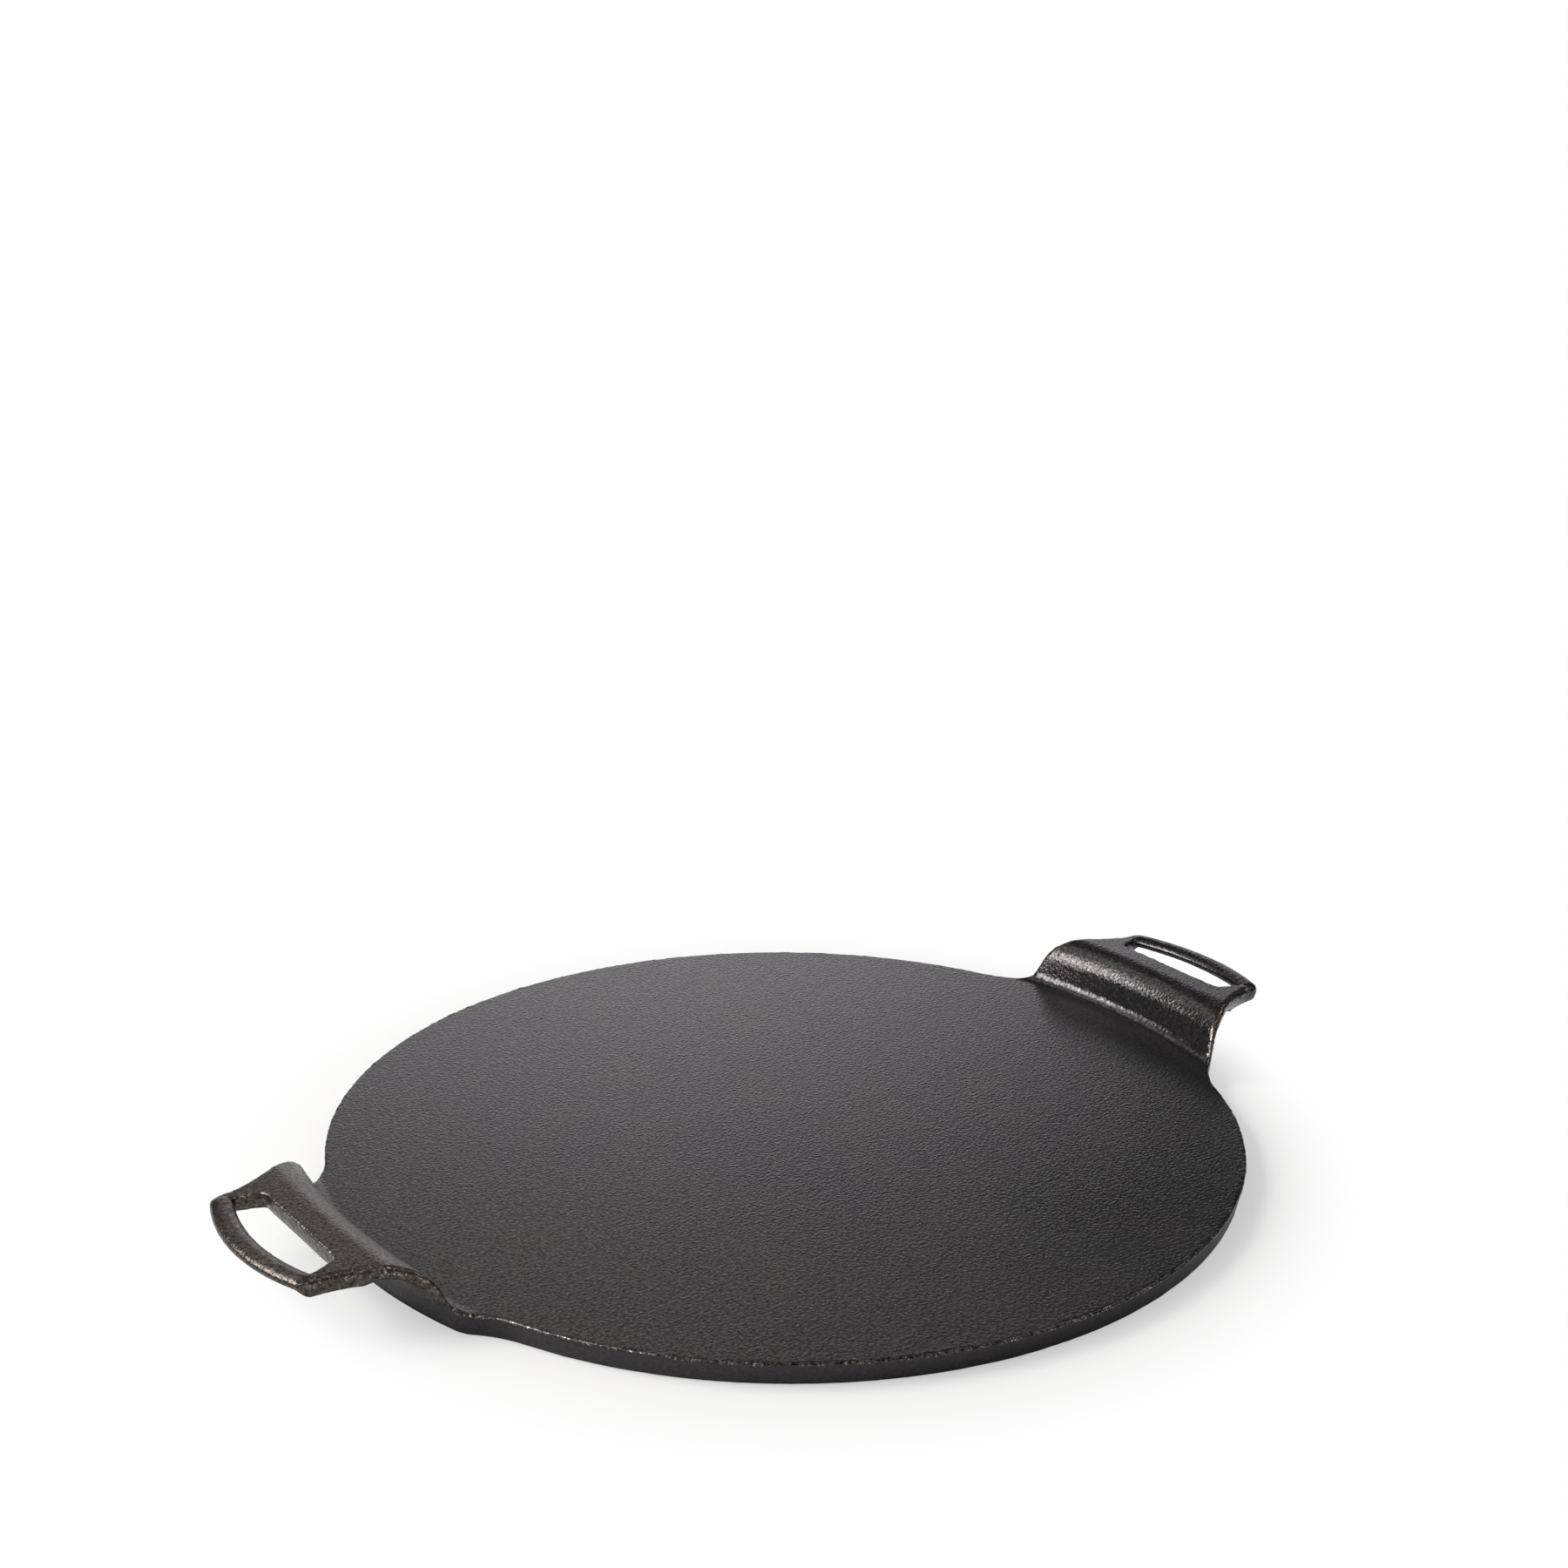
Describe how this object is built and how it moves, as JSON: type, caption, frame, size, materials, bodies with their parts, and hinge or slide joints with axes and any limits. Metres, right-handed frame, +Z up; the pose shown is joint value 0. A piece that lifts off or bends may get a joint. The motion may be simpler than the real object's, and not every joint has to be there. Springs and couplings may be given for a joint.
{
  "type": "pizza pan",
  "caption": "Round flat cast iron pizza pan with a drafted rim, a foot ring round a shallow recess, and raised loop handles with a hand slot at both ends.",
  "frame": {"origin": "centre of the round plate, on the surface that the pan stands on", "axes": "+Z up, away from the table; X through the middles of both handles; Y across the handles"},
  "size_m": [0.4932, 0.381, 0.0296],
  "materials": {
    "seasoned_iron": "sand-cast grey iron with a fine pebbled skin, seasoned with oil to a dark charcoal satin"
  },
  "bodies": {
    "root": {"baking_plate": "seasoned_iron", "foot_ring": "seasoned_iron", "right_handle_neck": "seasoned_iron", "right_handle_grip": "seasoned_iron", "left_handle_neck": "seasoned_iron", "left_handle_grip": "seasoned_iron"}
  },
  "joints": []
}
